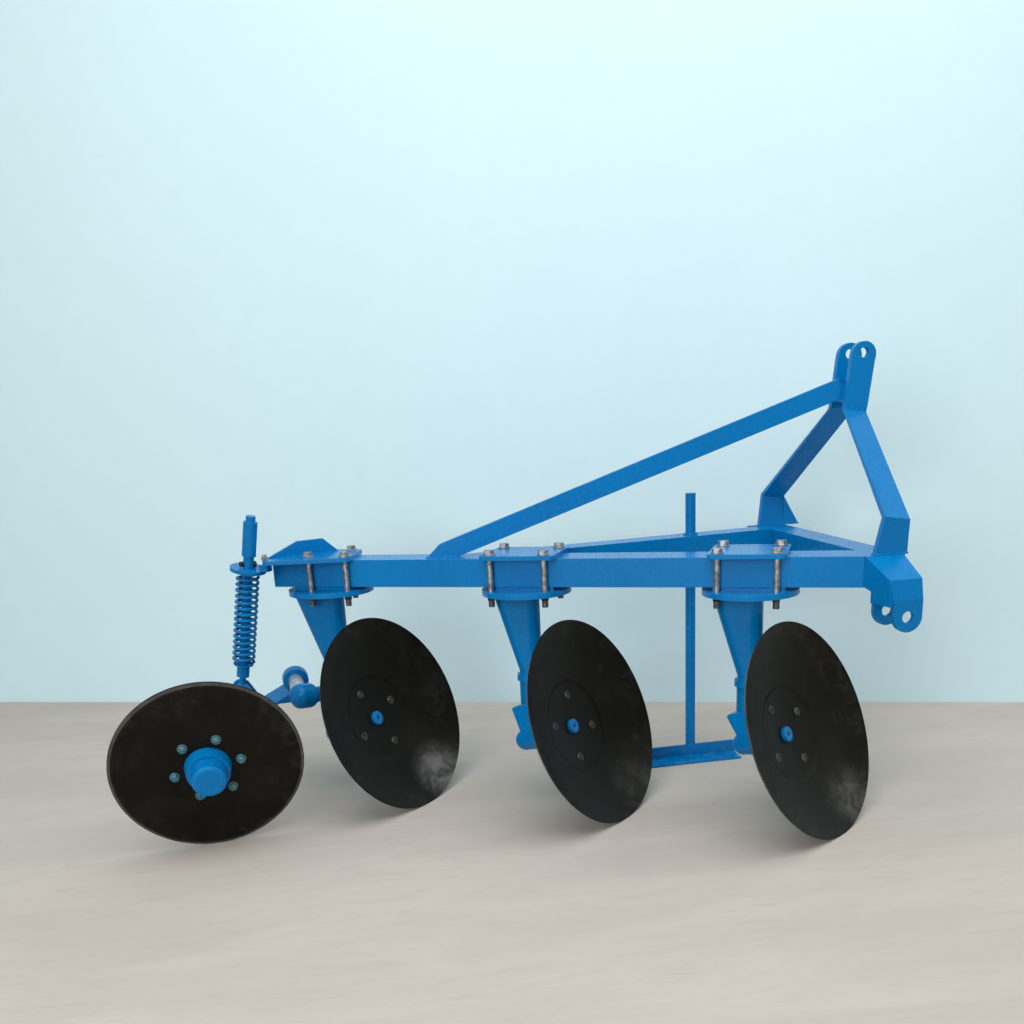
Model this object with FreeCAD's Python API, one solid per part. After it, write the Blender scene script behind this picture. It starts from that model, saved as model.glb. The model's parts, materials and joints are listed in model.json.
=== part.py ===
import FreeCAD, Part
import math
import os

V = FreeCAD.Vector

# Three-disc mounted plough, millimetres and degrees.
# X points forward along the direction of travel, Y to the left, Z up.
# The model is built with the lower hitch pin line at X = 0 and the ground at
# Z = 0, and is then moved so that its origin is under the middle of the machine.

# ---- hitch ----
lower_pin_height = 550.5
lower_pin_spread = 825.0
lower_bore = 28.7
clevis_width = 107.0
cheek_thickness = 12.0
cheek_half_width = 36.5
bracket_shoulder_drop = 46.0
bracket_shoulder_inset = 10.0
bracket_back = 62.0
bracket_back_angle = 9.5
mast_height = 610.0
upper_bore = 25.7
mast_gap = 60.0
mast_plate = 16.0
mast_forward = 79.0
mast_half_width = 33.0
mast_knee_height = 84.0
mast_neck_height = 344.0
mast_knee_spread = 354.0

# ---- frame ----
beam_angle = 27.8
beam_top = 686.0
beam_width = 105.0
beam_height = 76.0
beam_wall = 8.0
beam_start_y = -318.0
beam_length = 1623.0
tail_overhang = 148.0
cap_thickness = 6.0
crossbar_forward = 7.0
crossbar_width = 76.0
brace_width = 80.0
brace_crossbar_y = 298.0
brace_angle = 6.7
mast_brace_height = 51.0
mast_brace_thickness = 16.0
mast_brace_behind = 209.0
mast_brace_reach = 42.0
mast_brace_top = 1076.0

# ---- discs and their standards ----
disc_diameter = 560.0
disc_thickness = 6.0
disc_dish = 73.0
disc_tilt = 20.8
disc_bevel = 8.0
press_depth = 3.0
press_radius = 118.0
press_slope = 10.0
front_standard_back = 281.0
rear_standard_back = beam_length - tail_overhang
middle_standard_shift = 3.0
middle_standard_back = (front_standard_back + rear_standard_back) / 2.0 + middle_standard_shift
mast_brace_back = middle_standard_back + mast_brace_behind
standards = {
    "front": {"back": front_standard_back, "turn": 51.8, "behind": 197.4, "side": 32.6,
              "bolt_shift": -4.0, "near_spacing": 147.0, "far_spacing": 147.0, "far_gap": 11.5,
              "column_top": 131.0, "neck_web": 0.0},
    "middle": {"back": middle_standard_back, "turn": 44.1, "behind": 229.5, "side": 47.6,
               "bolt_shift": -6.0, "near_spacing": 151.0, "far_spacing": 158.0, "far_gap": 11.5,
               "column_top": 131.0, "neck_web": 0.0},
    "rear": {"back": rear_standard_back, "turn": 42.0, "behind": 238.6, "side": 53.2,
             "bolt_shift": 26.0, "near_spacing": 114.0, "far_spacing": 76.0, "far_gap": 2.5,
             "column_top": 155.0, "neck_web": 8.0},
}
plate_thickness = 12.0
plate_overhang = 24.0
plate_corner = 12.0
clamp_bolt = 16.0
bolt_clearance = 1.0
near_bolt_gap = 2.5
head_flats = 24.0
head_thickness = 10.0
washer_thickness = 3.0
bolt_end_proud = 29.0
flange_edge = 6.0
pad_thickness = 9.0
pad_length = 180.0
flange_thickness = 14.0
column_front = 34.0
column_neck_height = 363.0
column_foot_radius = 31.0
column_wall = 8.0
collar_proud = 6.0
collar_height = 17.0
housing_radius = 50.0
housing_front = 106.0
housing_end_radius = 30.0
housing_end_forward = 8.0
saddle_top = 278.0
saddle_margin = 7.0
saddle_front = 43.0
saddle_back = 52.0
casting_round = 7.0
spindle_diameter = 50.0
spindle_end_gap = 22.0
hub_flange_diameter = 210.0
hub_flange_thickness = 14.0
hub_bore = 40.0
pilot_proud = 9.0

# ---- furrow wheel ----
wheel_diameter = 490.0
wheel_plate = 8.0
wheel_rim_width = 12.0
wheel_rim_depth = 24.0
wheel_bevel_depth = 4.0
wheel_bevel_reach = 14.0
wheel_turn = 84.2
wheel_tilt = -15.1
wheel_from_tail = V(-230.0, -520.4, 0)
wheel_barrel_diameter = 88.0
wheel_barrel_front = 76.0
wheel_barrel_back = 62.0
wheel_drum_diameter = 120.0
wheel_drum_proud = 30.0
wheel_flange_diameter = 210.0
wheel_flange_thickness = 12.0
axle_diameter = 50.0
axle_stub = 36.0
axle_knee_back = 150.0

# ---- trailing arm and spring strut ----
pivot_from_tail = V(-3.9, -37.9, 342)
pivot_diameter = 76.0
eye_length = 24.0
arm_width = 76.0
pivot_pin = 44.0
link_end_from_tail = V(21.3, -153.9, 304.8)
link_foot_height = 285.5
link_diameter = 46.0
boss_diameter = 73.0
boss_length = 76.0
arm_slope = 28.5
arm_length = 280.0
arm_drop = 26.5
arm_plate = 10.0
arm_web_depth = 32.0
arm_web_start = 82.0
arm_web_end = 42.0
strut_foot_from_tail = V(-161.4, -33.9, 309.6)
strut_head_from_tail = V(-71.8, -104.3, 818)
strut_rod_radius = 10.0
strut_tube_radius = 14.0
strut_eye_radius = 22.0
strut_pin_radius = 9.0
strut_collar_radius = 18.5
strut_collar_low = 45.0
strut_collar_high = 82.0
ear_radius = 27.0
ear_gap = 30.0
ear_thickness = 8.0
spring_diameter = 68.0
spring_wire = 9.0
spring_turns = 15
spring_low = 87.0
seat_radius = 51.0
seat_low = 367.0
seat_thickness = 10.0
seat_boss_radius = 25.0
seat_ear = 26.0
seat_bolt = 12.0
seat_bolt_forward = 54.0
sleeve_radius = 20.0
sleeve_neck_radius = 15.0
sleeve_low = 411.0
sleeve_high = 508.0

# ---- parking stand ----
stand_x = -277.6
stand_y = 271.0
stand_diameter = 30.0
stand_top = 806.0
stand_travel = 300.0
sleeve_wall = 6.0
foot_length = 290.0
foot_height = 42.0
foot_depth = 68.0
foot_wall = 6.0
foot_tip = 14.0

# ---- fits ----
running_gap = 0.05
sliding_gap = 0.10
side_play = 2.0

BACK = crossbar_forward - crossbar_width / 2.0


def turn_about(axis, angle):
    return FreeCAD.Rotation(axis, angle)


def frame_at(point, rotation):
    return FreeCAD.Placement(point, rotation)


def beam_frame():
    """Local frame of the main beam: X forward along it, Y across to the left."""
    return frame_at(V(BACK, beam_start_y, 0), turn_about(V(0, 0, 1), -beam_angle))


def beam_point(back, across, height):
    return beam_frame().multVec(V(-back, across, height))


def from_tail(offset):
    """A point given by its distance ahead of and left of the beam's tail end, and its height."""
    return beam_point(beam_length, 0, 0).add(offset)


pivot = from_tail(pivot_from_tail)
link_end = from_tail(link_end_from_tail)
strut_foot = from_tail(strut_foot_from_tail)
strut_head = from_tail(strut_head_from_tail)


def standard_frame(name):
    """Frame at a standard's axis: X along the level heading of its disc."""
    data = standards[name]
    origin = beam_point(data["back"], 0, 0)
    return frame_at(origin, turn_about(V(0, 0, 1), -data["turn"]))


def tilted(angle):
    return turn_about(V(0, 1, 0), 90.0 - angle)


def disc_height():
    return disc_diameter / 2.0 * math.cos(math.radians(disc_tilt))


def disc_frame(name):
    """Frame at the centre of a disc's rim: Z along the spin axis, X down the disc."""
    data = standards[name]
    centre = V(data["behind"], -data["side"], disc_height())
    local = frame_at(centre, tilted(disc_tilt))
    return standard_frame(name).multiply(local)


def wheel_frame():
    """Frame at the furrow wheel's centre: Z along its spin axis, X down the wheel."""
    lean = math.radians(abs(wheel_tilt))
    edge = wheel_plate / 2.0 - wheel_bevel_depth
    height = wheel_diameter / 2.0 * math.cos(lean) + edge * math.sin(lean)
    centre = from_tail(wheel_from_tail + V(0, 0, height))
    heading = turn_about(V(0, 0, 1), -wheel_turn)
    return frame_at(centre, heading.multiply(tilted(wheel_tilt)))


def placed(shape, placement):
    return shape.transformed(placement.toMatrix(), True)


def box(x0, x1, y0, y1, z0, z1):
    return Part.makeBox(x1 - x0, y1 - y0, z1 - z0, V(x0, y0, z0))


def cylinder(radius, z0, z1, x=0.0, y=0.0):
    return Part.makeCylinder(radius, z1 - z0, V(x, y, z0))


def rod(start, end, radius):
    line = end.sub(start)
    return Part.makeCylinder(radius, line.Length, start, line)


def flat(points, height, direction):
    """A closed outline pushed straight along one direction."""
    wire = Part.makePolygon(points + [points[0]])
    return Part.Face(wire).extrude(direction * height)


def hexagon(across_flats, z0, z1, x=0.0, y=0.0):
    radius = across_flats / math.sqrt(3.0)
    points = []
    for step in range(6):
        angle = math.radians(60.0 * step)
        points.append(V(x + radius * math.cos(angle), y + radius * math.sin(angle), z0))
    return flat(points, z1 - z0, V(0, 0, 1))


def spun(points):
    """A closed outline of (radius, height) pairs turned about the Z axis."""
    wire = Part.makePolygon([V(r, 0, z) for r, z in points + [points[0]]])
    return Part.Face(wire).revolve(V(0, 0, 0), V(0, 0, 1), 360)


def mirrored(shape):
    return shape.mirror(V(0, 0, 0), V(0, 1, 0))


# ---------------------------------------------------------------- frame

def tube_along(length, width):
    """Rectangular tube from X = -length to 0, top at the beam top."""
    low = beam_top - beam_height
    outer = box(-length, 0, -width / 2.0, width / 2.0, low, beam_top)
    half = width / 2.0 - beam_wall
    inner = box(-length - 1, 1, -half, half, low + beam_wall, beam_top - beam_wall)
    return outer.cut(inner)


def main_beam():
    """Diagonal box beam, cut off at the crossbar and at the right hitch bracket."""
    raw = tube_along(beam_length + 200, beam_width)
    raw.translate(V(200, 0, 0))
    beam = placed(raw, beam_frame())
    keep = box(-3000, BACK, -2000, 2000, 0, 2000)
    return beam.common(keep).cut(bracket_envelope())


def beam_end_cap():
    half = beam_width / 2.0
    low = beam_top - beam_height
    cap = box(-beam_length - cap_thickness, -beam_length, -half, half, low, beam_top)
    return placed(cap, beam_frame())


def front_crossbar():
    inner_face = lower_pin_spread / 2.0 - clevis_width / 2.0
    raw = tube_along(2 * inner_face, crossbar_width)
    raw.translate(V(inner_face, 0, 0))
    turned = frame_at(V(crossbar_forward, 0, 0), turn_about(V(0, 0, 1), 90))
    return placed(raw, turned)


def rear_brace():
    """Box brace from the crossbar back to the beam, holed for the stand and the bolts."""
    raw = tube_along(1400, brace_width)
    raw.translate(V(100, 0, 0))
    start = V(BACK, brace_crossbar_y, 0)
    brace = placed(raw, frame_at(start, turn_about(V(0, 0, 1), brace_angle)))
    far_side = box(-4000, 500, beam_width / 2.0, 3000, 0, 2000)
    beyond_beam = placed(far_side, beam_frame())
    behind_crossbar = box(-4000, BACK, -2000, 2000, 0, 2000)
    brace = brace.common(beyond_beam).common(behind_crossbar)
    bore = stand_diameter / 2.0 + sleeve_wall
    brace = brace.cut(cylinder(bore, 500, 900, stand_x, stand_y))
    holes = clamp_holes("middle", beam_top - beam_height - 10, beam_top + 10)
    brace = brace.cut(placed(holes, clamp_frame("middle")))
    return max(brace.Solids, key=lambda solid: solid.Volume)


def cheek_outline():
    """Side view of a hitch bracket: rounded below the pin, drawn back at its shoulder."""
    half = cheek_half_width
    shoulder = beam_top - bracket_shoulder_drop
    closed = lower_pin_height + 26.0
    points = [V(half, -1000, lower_pin_height), V(half, -1000, 2000), V(-bracket_back - 20, -1000, 2000),
              V(-bracket_back - 20, -1000, shoulder + 1), V(-half - 8, -1000, shoulder),
              V(-half, -1000, closed), V(-half, -1000, lower_pin_height)]
    upper = flat(points, 2000, V(0, 1, 0))
    end = Part.makeCylinder(half, 2000, V(0, -1000, lower_pin_height), V(0, 1, 0))
    return upper.fuse(end)


def bracket_sections():
    """Front views of the right bracket: its folded skin and its closing walls."""
    outer = lower_pin_spread / 2.0 + clevis_width / 2.0
    inner = outer - clevis_width
    thick = cheek_thickness
    fold = outer - bracket_shoulder_inset
    shoulder = beam_top - bracket_shoulder_drop
    low = lower_pin_height - cheek_half_width - 5
    closed = lower_pin_height + 26.0
    skin = [(inner, beam_top), (inner + 7, beam_top), (fold, shoulder), (outer, closed + 15),
            (outer, low), (outer - thick, low), (outer - thick, closed + 13),
            (fold - thick, shoulder - 8), (inner + 7, beam_top - thick), (inner, beam_top - thick)]
    wall = [(inner, beam_top), (inner + 7, beam_top), (fold, shoulder), (outer - thick / 2.0, closed),
            (inner + 31, closed), (inner + 31, closed + 28), (inner, closed + 36)]
    return skin, wall


def back_cut():
    """Space behind the bracket's slanted rear wall."""
    inner = lower_pin_spread / 2.0 - clevis_width / 2.0
    block = box(-500, 0, -1500, 1500, 0, 2000)
    turned = turn_about(V(0, 0, 1), bracket_back_angle)
    return placed(block, frame_at(V(-bracket_back, -inner, 0), turned))


def push_section(section, x0, x1):
    return flat([V(x0, -y, z) for y, z in section], x1 - x0, V(1, 0, 0))


def bracket_envelope():
    """The right bracket's whole space above its closed part, for what is cut to meet it."""
    inner = lower_pin_spread / 2.0 - clevis_width / 2.0
    block = box(-bracket_back - 20, cheek_half_width, -1000, -inner, lower_pin_height, beam_top + 1)
    return block.cut(back_cut())


def hitch_bracket():
    """Folded hitch bracket on the right-hand side, Y negative."""
    half = cheek_half_width
    inner = lower_pin_spread / 2.0 - clevis_width / 2.0
    thick = cheek_thickness
    skin, wall = bracket_sections()
    shell = push_section(skin, -bracket_back - 20, half)
    low = lower_pin_height - half - 5
    cheek = box(-bracket_back - 20, half, -inner - thick, -inner, low, beam_top)
    cheek = cheek.cut(box(-bracket_back - 21, -half, -2000, 0, 0, lower_pin_height + 60))
    rear_wall = push_section(wall, -bracket_back - 20, half)
    shifted = back_cut().translated(V(thick, 0, 0))
    rear_wall = rear_wall.common(shifted)
    front_wall = push_section(wall, half - 10, half)
    cheeks = shell.fuse(cheek).common(cheek_outline())
    bracket = cheeks.multiFuse([rear_wall, front_wall]).cut(back_cut())
    hole = Part.makeCylinder(lower_bore / 2.0, 1000, V(0, -1000, lower_pin_height), V(0, 1, 0))
    return bracket.cut(hole).removeSplitter()


def mast_hole():
    height = lower_pin_height + mast_height
    return Part.makeCylinder(upper_bore / 2.0, 400, V(mast_forward, -200, height), V(0, 1, 0))


def mast_leg():
    """Folded flat bar of the right-hand mast leg, Y negative, its folds sloping forward."""
    top = lower_pin_height + mast_height
    knee = beam_top + mast_knee_height
    neck = beam_top + mast_neck_height
    inside = mast_gap / 2.0
    thick = mast_plate
    spread = mast_knee_spread
    path = [(10 - spread, beam_top - 60), (10 - spread, beam_top), (-spread, knee), (-inside, neck),
            (-inside, top + 100)]
    offset = [(-inside - thick, top + 100), (-inside - thick, neck - 4), (-spread - thick - 1, knee + 4),
              (10 - spread - thick, beam_top), (10 - spread - thick, beam_top - 60)]
    slope = V(1, 0, -0.17)
    band = flat([V(-200, y, z + 0.17 * 212) for y, z in path + offset], 500, slope)
    low = [(-33, beam_top), (-20, knee), (31, neck), (mast_forward - mast_half_width, top)]
    high = [(mast_forward + mast_half_width, top), (95, neck), (46, knee), (49, beam_top)]
    side = flat([V(x, -600, z) for x, z in low + high], 1200, V(0, 1, 0))
    head = Part.makeCylinder(mast_half_width, 1200, V(mast_forward, -600, top - 5), V(0, 1, 0))
    leg = band.common(side.cut(box(-300, 300, -700, 700, top - 5, top + 200)).fuse(head))
    return leg.cut(mast_hole()).removeSplitter()


def mast_spacer():
    """Block that holds the two mast plates apart behind the pin."""
    half = mast_gap / 2.0
    return box(38, 86, -half, half, 1040, 1085)


def mast_foot_gusset():
    """Small web in front of the left leg's foot."""
    start = mast_knee_spread - 10
    points = [V(45, start, beam_top + mast_knee_height), V(45, start, beam_top), V(93, start, beam_top)]
    return flat(points, mast_plate - 2, V(0, 1, 0))


def mast_brace():
    """Flat bar on edge from the beam up to the mast plates, its lower end cut on the slant."""
    low = beam_point(mast_brace_back, 0, beam_top + 22)
    high = V(mast_brace_reach, 0, mast_brace_top)
    line = high.sub(low)
    line.normalize()
    across = V(-line.y, line.x, 0)
    across.normalize()
    up = line.cross(across)
    half = mast_brace_height / 2.0
    shift = across * (-mast_brace_thickness / 2.0)
    low = low.add(shift)
    high = high.add(shift)
    points = [low.sub(line * 28).add(up * half), high.add(up * half), high.sub(up * half),
              low.sub(line * 76).sub(up * half), low.sub(line * 76).add(up * (half - 22))]
    bar = flat(points, mast_brace_thickness, across)
    return bar.common(box(-4000, 38, -2000, 2000, beam_top, 2000))


# ---------------------------------------------------------------- standards

def clamp_bolt_places(name):
    """The four bolt centres of one standard, two on either side of the beam."""
    data = standards[name]
    rear = data["bolt_shift"] - data["near_spacing"] / 2.0
    near = -(beam_width / 2.0 + near_bolt_gap + clamp_bolt / 2.0)
    far = beam_width / 2.0 + data["far_gap"] + clamp_bolt / 2.0
    return [(rear, near), (rear + data["near_spacing"], near),
            (rear, far), (rear + data["far_spacing"], far)]


def clamp_frame(name):
    back = standards[name]["back"]
    return beam_frame().multiply(frame_at(V(-back, 0, 0), FreeCAD.Rotation()))


def clamp_holes(name, low, high):
    radius = clamp_bolt / 2.0 + bolt_clearance
    return Part.makeCompound([cylinder(radius, low, high, x, y) for x, y in clamp_bolt_places(name)])


def rounded_plate(points, radius, low, high):
    """Level plate over a closed outline, its upright corners rounded."""
    plate = flat([V(x, y, low) for x, y in points], high - low, V(0, 0, 1))
    upright = [edge for edge in plate.Edges if abs(edge.Vertexes[0].Z - edge.Vertexes[1].Z) > 1]
    return plate.makeFillet(radius, upright)


def clamp_plate(name):
    """Plate over the beam's top, with rounded corners and four bolt holes."""
    places = clamp_bolt_places(name)
    x0 = min(x for x, y in places) - plate_overhang
    x1 = max(x for x, y in places) + plate_overhang
    y0 = min(y for x, y in places) - plate_overhang
    y1 = max(y for x, y in places) + plate_overhang
    high = beam_top + plate_thickness
    plate = rounded_plate([(x0, y0), (x1, y0), (x1, y1), (x0, y1)], plate_corner, beam_top, high)
    return placed(plate.cut(clamp_holes(name, beam_top - 1, high + 1)), clamp_frame(name))


def flange_top():
    return beam_top - beam_height - pad_thickness


def clamp_bolts(name):
    """Four bolts straddling the beam, screwed through the flange."""
    high = beam_top + plate_thickness
    low = flange_top() - flange_thickness - bolt_end_proud
    bolts = []
    for x, y in clamp_bolt_places(name):
        washer = cylinder(head_flats / 2.0 + 2, high, high + washer_thickness, x, y)
        head_low = high + washer_thickness
        head = hexagon(head_flats, head_low, head_low + head_thickness, x, y)
        shank = cylinder(clamp_bolt / 2.0, low, head_low + 1, x, y)
        bolts.append(head.multiFuse([washer, shank]))
    return placed(Part.makeCompound(bolts), clamp_frame(name))


def standard_flange(name):
    """Round flange under the beam, with a pad that bears on the beam's underside."""
    reach = max(math.hypot(x, y) for any_name in standards for x, y in clamp_bolt_places(any_name))
    top = flange_top()
    plate = cylinder(reach + clamp_bolt / 2.0 + flange_edge, top - flange_thickness, top)
    half = beam_width / 2.0 - 4
    pad = box(-pad_length / 2.0, pad_length / 2.0, -half, half, top, top + pad_thickness)
    holes = clamp_holes(name, top - flange_thickness - 1, top + pad_thickness + 1)
    return placed(plate.fuse(pad).cut(holes), clamp_frame(name))


def stadium(front, rear, radius, height):
    """Level outline with straight sides and round ends."""
    ahead = front - radius
    behind = rear + radius
    right = Part.makeLine(V(behind, -radius, height), V(ahead, -radius, height))
    nose = Part.Arc(V(ahead, -radius, height), V(front, 0, height), V(ahead, radius, height)).toShape()
    left = Part.makeLine(V(ahead, radius, height), V(behind, radius, height))
    tail = Part.Arc(V(behind, radius, height), V(rear, 0, height), V(behind, -radius, height)).toShape()
    return Part.Wire([right, nose, left, tail])


def column_loft(name, inset, top):
    """Tapered body of a column, or its hollow when given the wall as inset."""
    data = standards[name]
    front = column_front - inset
    neck_rear = column_front - 2 * column_foot_radius - data["neck_web"] + inset
    top_rear = column_front - data["column_top"] + inset
    neck = stadium(front, neck_rear, column_foot_radius - inset - 1, column_neck_height)
    head = stadium(front, top_rear, front, top)
    return Part.makeLoft([neck, head], True, True)


def standard_column(name):
    """Hollow column, wide under the flange and round at its foot."""
    top = flange_top() - flange_thickness
    foot_low = saddle_top - 24
    tube = cylinder(column_foot_radius, foot_low, column_neck_height)
    collar_top = column_neck_height - 5
    collar = cylinder(column_foot_radius + collar_proud, collar_top - collar_height, collar_top)
    body = column_loft(name, 0, top).multiFuse([tube, collar])
    hollow = cylinder(column_foot_radius - column_wall, foot_low - 1, column_neck_height + 1)
    body = body.cut(column_loft(name, column_wall, top)).cut(hollow)
    seat = saddle_seat(name)
    below = box(seat.x, seat.x + 300, seat.y - 150, seat.y + 150, seat.z - 150, seat.z + 150)
    return placed(body, clamp_frame(name)).cut(placed(below, disc_frame(name)))


def housing_end(name):
    """Distance from the rim plane back to the housing's round end under the column."""
    return (standards[name]["behind"] - housing_end_forward) / math.cos(math.radians(disc_tilt))


def saddle_seat(name):
    """Where the column's axis meets the saddle block's top, in the disc's frame."""
    point = standard_frame(name).multVec(V(0, 0, saddle_top))
    return disc_frame(name).inverse().multVec(point)


def saddle_block(name):
    """Cast block that joins the column's foot to the bearing housing, in the disc's frame."""
    seat = saddle_seat(name)
    half = column_foot_radius + saddle_margin
    reach = housing_end_radius - 2
    front = seat.z + saddle_front
    back = seat.z - saddle_back
    low_back = 6 - housing_end(name)
    seen_behind = [V(seat.x, seat.y - half, back), V(seat.x, seat.y + half, back),
                   V(0, reach, back), V(0, -reach, back)]
    seen_aside = [V(seat.x, -500, back), V(seat.x, -500, front), V(0, -500, front), V(0, -500, low_back)]
    block = flat(seen_behind, front - back, V(0, 0, 1)).common(flat(seen_aside, 1000, V(0, 1, 0)))
    return block.makeFillet(casting_round, block.Edges)


def bearing_housing(name):
    """Tapered bearing housing behind a disc, with the block that carries it."""
    end = housing_end(name)
    length = end - housing_front
    barrel = Part.makeCone(housing_end_radius, housing_radius, length, V(0, 0, -end))
    tip = Part.makeSphere(housing_end_radius, V(0, 0, -end))
    body = barrel.multiFuse([tip, saddle_block(name)])
    bore = cylinder(spindle_diameter / 2.0 + running_gap, spindle_end_gap - 6 - end, 0)
    return placed(body.cut(bore), disc_frame(name))


# ---------------------------------------------------------------- discs

def sphere_radius():
    half = disc_diameter / 2.0
    return (half * half + disc_dish * disc_dish) / (2.0 * disc_dish)


def dish_height(radius, grow=0.0):
    """Height of the dished surface, or of one outside it, at a radius."""
    ball = sphere_radius()
    centre = ball - disc_dish
    reach = ball + grow
    height = centre - math.sqrt(reach * reach - radius * radius)
    if radius <= press_radius:
        height = height - press_depth
    return height


def arc_edge(start, end, grow):
    """Part of the dished outline between two radii, both on one side of the pressed step."""
    middle = (start + end) / 2.0
    points = [V(r, 0, dish_height(r, grow)) for r in (start, middle, end)]
    return Part.Arc(points[0], points[1], points[2]).toShape()


def line_edge(first, second):
    return Part.makeLine(V(first[0], 0, first[1]), V(second[0], 0, second[1]))


def turned_face(edges):
    """A closed outline of edges turned about the Z axis."""
    face = Part.Face(Part.Wire(Part.__sortEdges__(edges)))
    return face.revolve(V(0, 0, 0), V(0, 0, 1), 360)


def disc_blade(name):
    """Dished blade with a bevelled edge, a pressed centre and a round hole."""
    rim = disc_diameter / 2.0
    hole = hub_bore / 2.0 + sliding_gap
    step = press_radius + press_slope
    bevel = rim - disc_bevel
    rim_point = (rim - 0.5, dish_height(rim - 0.5))
    edge_point = (rim, dish_height(rim - 0.5) - 1.2)
    bevel_point = (bevel, dish_height(bevel, disc_thickness))
    edges = [line_edge(rim_point, edge_point), line_edge(edge_point, bevel_point)]
    edges.append(arc_edge(step, rim - 0.5, 0.0))
    edges.append(arc_edge(step, bevel, disc_thickness))
    for grow in (0.0, disc_thickness):
        edges.append(line_edge((press_radius, dish_height(press_radius, grow)), (step, dish_height(step, grow))))
        edges.append(arc_edge(hole, press_radius, grow))
    edges.append(line_edge((hole, dish_height(hole)), (hole, dish_height(hole, disc_thickness))))
    return placed(turned_face(edges), disc_frame(name))


def disc_hub(name):
    """Flanged spindle behind the blade, with its pilot cap in the centre."""
    rim = hub_flange_diameter / 2.0
    core = 0.001
    low = dish_height(0, disc_thickness) - hub_flange_thickness
    edges = [arc_edge(core, rim, disc_thickness)]
    edges.append(line_edge((rim, dish_height(rim, disc_thickness)), (rim, low)))
    edges.append(line_edge((rim, low), (core, low)))
    edges.append(line_edge((core, low), (core, dish_height(core, disc_thickness))))
    pilot = cylinder(hub_bore / 2.0, low, dish_height(0) + pilot_proud)
    shaft = cylinder(spindle_diameter / 2.0, spindle_end_gap - housing_end(name), low + 1)
    return placed(turned_face(edges).multiFuse([pilot, shaft]).removeSplitter(), disc_frame(name))


# ---------------------------------------------------------------- furrow wheel

def furrow_wheel():
    """Flat wheel plate, thicker at its rim, with a broad bevel on the outer face."""
    rim = wheel_diameter / 2.0
    front = wheel_plate / 2.0
    back = front - wheel_rim_width
    hole = wheel_barrel_diameter / 2.0 + sliding_gap
    inner = rim - wheel_rim_depth
    points = [(hole, -front), (hole, front), (rim - wheel_bevel_reach, front), (rim, front - wheel_bevel_depth),
              (rim, back + 2), (rim - 2, back), (inner, back), (inner - 8, -front)]
    return placed(spun(points), wheel_frame())


def wheel_hub():
    """Turning hub: flange behind the plate, drum and closed barrel in front."""
    half = wheel_plate / 2.0
    flange = cylinder(wheel_flange_diameter / 2.0, -half - wheel_flange_thickness, -half)
    drum = Part.makeCone(wheel_drum_diameter / 2.0, wheel_drum_diameter / 2.0 - 5, wheel_drum_proud, V(0, 0, half))
    barrel = cylinder(wheel_barrel_diameter / 2.0, -wheel_barrel_back, wheel_barrel_front - 6)
    cap = Part.makeCone(wheel_barrel_diameter / 2.0, wheel_barrel_diameter / 2.0 - 6, 6, V(0, 0, wheel_barrel_front - 6))
    hub = barrel.multiFuse([flange, drum, cap])
    bore = cylinder(axle_stub / 2.0 + running_gap, -wheel_barrel_back - 1, wheel_barrel_front - 14)
    return placed(hub.cut(bore).removeSplitter(), wheel_frame())


def wheel_axle():
    """Fixed cranked axle from the trailing arm to the wheel hub."""
    knee = wheel_frame().multVec(V(0, 0, -axle_knee_back))
    face = wheel_frame().multVec(V(0, 0, -wheel_barrel_back - 8))
    radius = axle_diameter / 2.0
    inner = rod(knee, face, radius)
    outer = rod(arm_end(), knee, radius)
    ball = Part.makeSphere(radius, knee)
    stub = cylinder(axle_stub / 2.0, -wheel_barrel_back - 9, wheel_barrel_front - 24)
    return inner.multiFuse([outer, ball, placed(stub, wheel_frame())]).removeSplitter()


# ---------------------------------------------------------------- trailing arm and strut

def arm_frame():
    """Frame at the pivot: X up along the arm's slope, Y along the pivot to the left, Z across the arm."""
    axis = wheel_frame().Rotation.multVec(V(0, 0, 1))
    rear = axis.cross(V(0, 0, 1))
    rear.normalize()
    level = FreeCAD.Rotation(rear * -1.0, axis * -1.0, V(0, 0, 1), "XYZ")
    return frame_at(pivot, level.multiply(turn_about(V(0, 1, 0), -arm_slope)))


def arm_end():
    return arm_frame().multVec(V(-arm_length, 0, -arm_drop - arm_plate / 2.0))


def ear_pair():
    """Two round-topped ears on the arm that hold the strut's pin, in the arm's frame."""
    foot = arm_frame().inverse().multVec(strut_foot)
    low = -arm_drop - 1
    across = V(0, 1, 0)
    parts = []
    for start in (foot.y - ear_gap / 2.0 - ear_thickness, foot.y + ear_gap / 2.0):
        ear = box(foot.x - ear_radius, foot.x + ear_radius, start, start + ear_thickness, low, foot.z)
        top = Part.makeCylinder(ear_radius, ear_thickness, V(foot.x, start, foot.z), across)
        parts.append(ear.fuse(top))
    width = ear_gap + 2 * ear_thickness + 12
    parts.append(Part.makeCylinder(strut_pin_radius, width, V(foot.x, foot.y - width / 2.0, foot.z), across))
    return parts


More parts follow.
